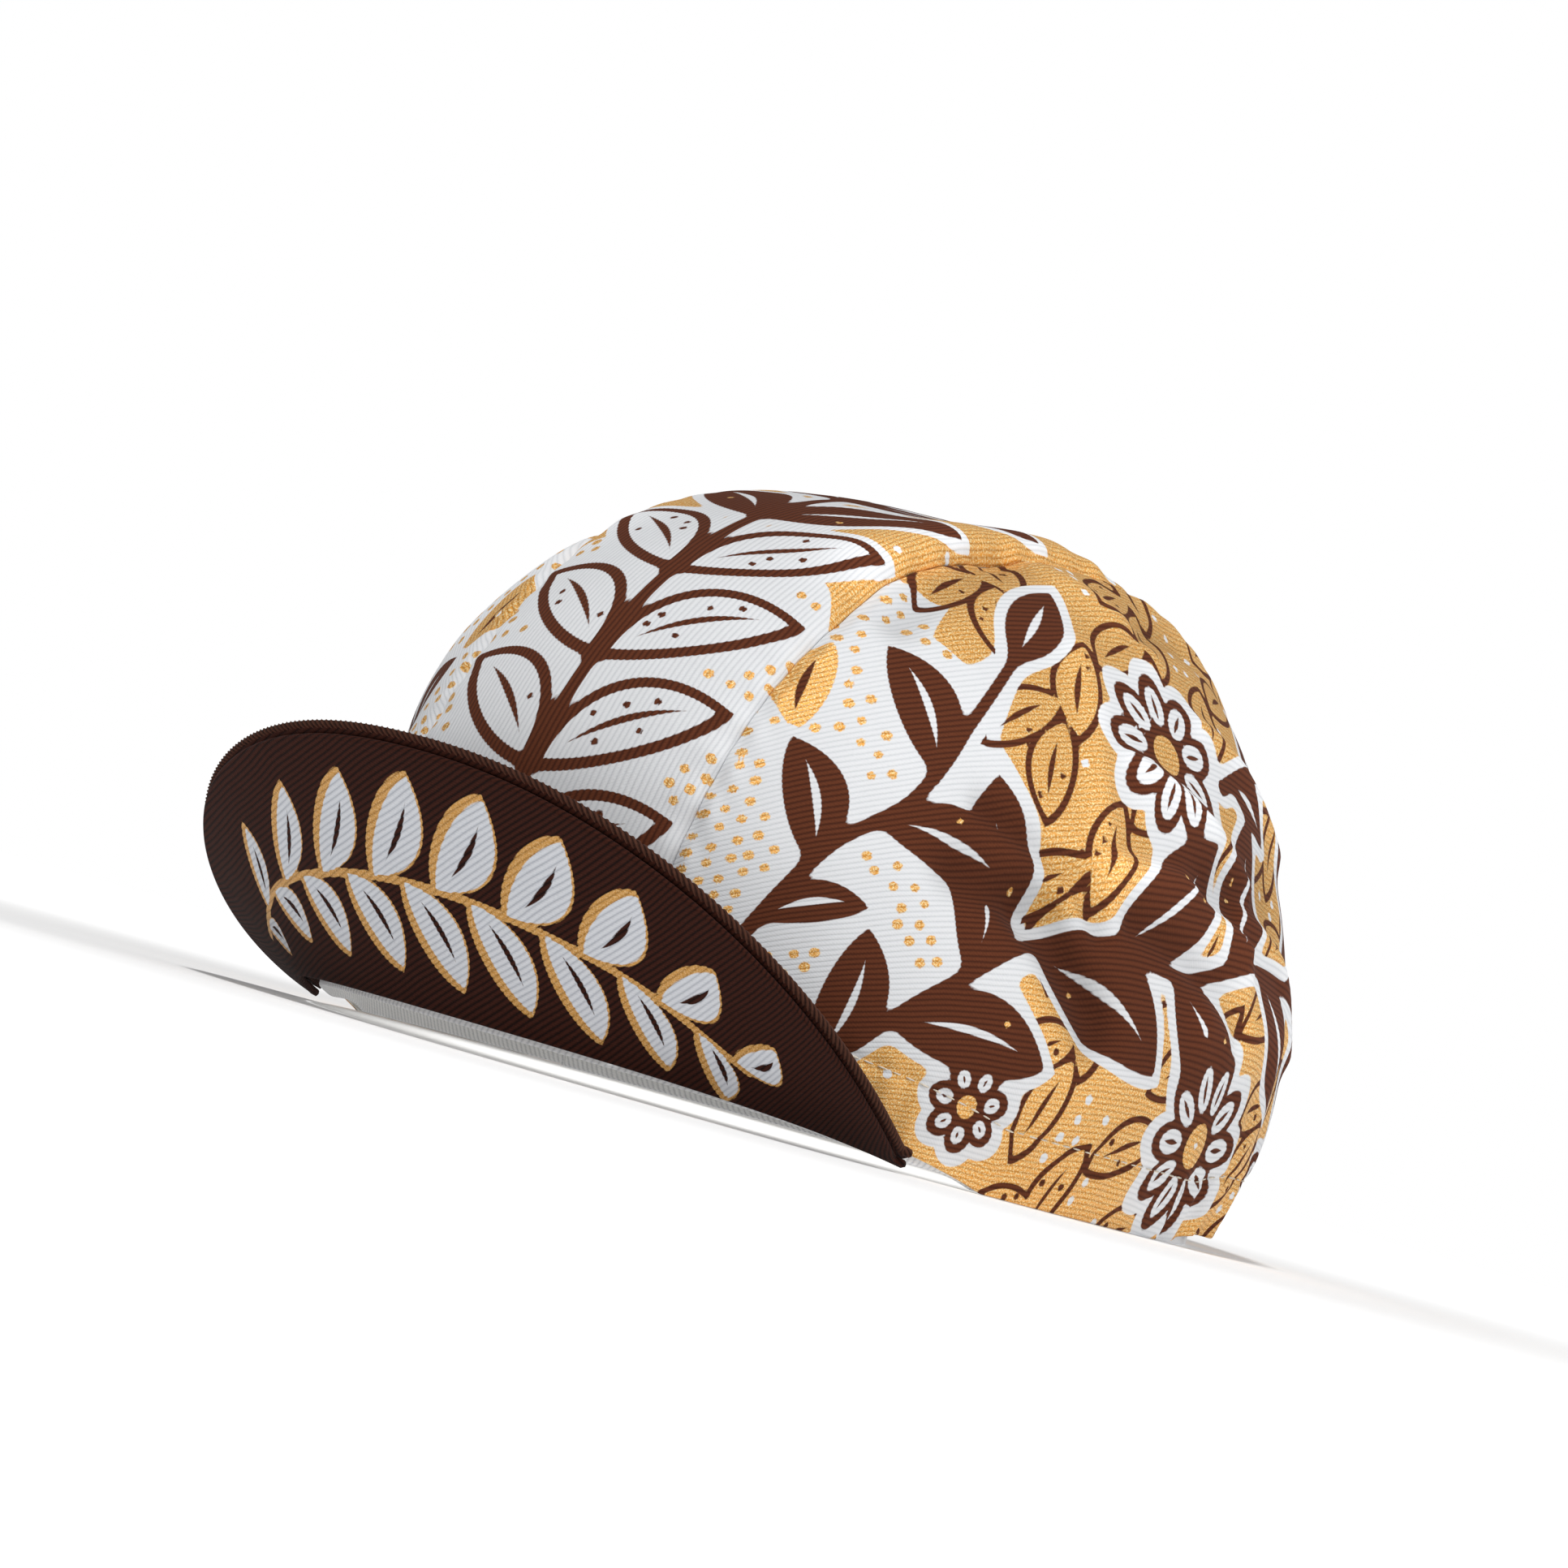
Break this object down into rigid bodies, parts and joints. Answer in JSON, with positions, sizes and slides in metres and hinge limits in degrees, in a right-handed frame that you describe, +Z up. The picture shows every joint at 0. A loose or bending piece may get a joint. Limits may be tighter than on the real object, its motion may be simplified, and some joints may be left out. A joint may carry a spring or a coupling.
{
  "type": "cycling cap",
  "caption": "Soft cotton cycling cap of three crown panels with its short peak turned up, a sweatband and a gathered elastic behind.",
  "frame": {"origin": "middle of the bounding box, on the surface that the hem rests on", "axes": "+Z up out of the opening, -Y towards the front where the peak is, +X towards the wearer's left"},
  "size_m": [0.1689, 0.2292, 0.1201],
  "materials": {
    "crown_white": "white cotton twill with screen-printed ochre and brown",
    "crown_print": "cotton twill printed in pearly ochre, brown and white",
    "peak_plain": "brown cotton twill",
    "peak_print": "cotton twill printed brown, white and ochre",
    "band_white": "white cotton twill tape",
    "elastic_white": "white woven elastic"
  },
  "bodies": {
    "root": {"middle_panel": "crown_white", "left_panel": "crown_print", "right_panel": "crown_print", "peak_top_cover": "peak_plain", "peak_under_cover": "peak_print", "inner_band": "band_white", "rear_elastic": "elastic_white"}
  },
  "joints": []
}
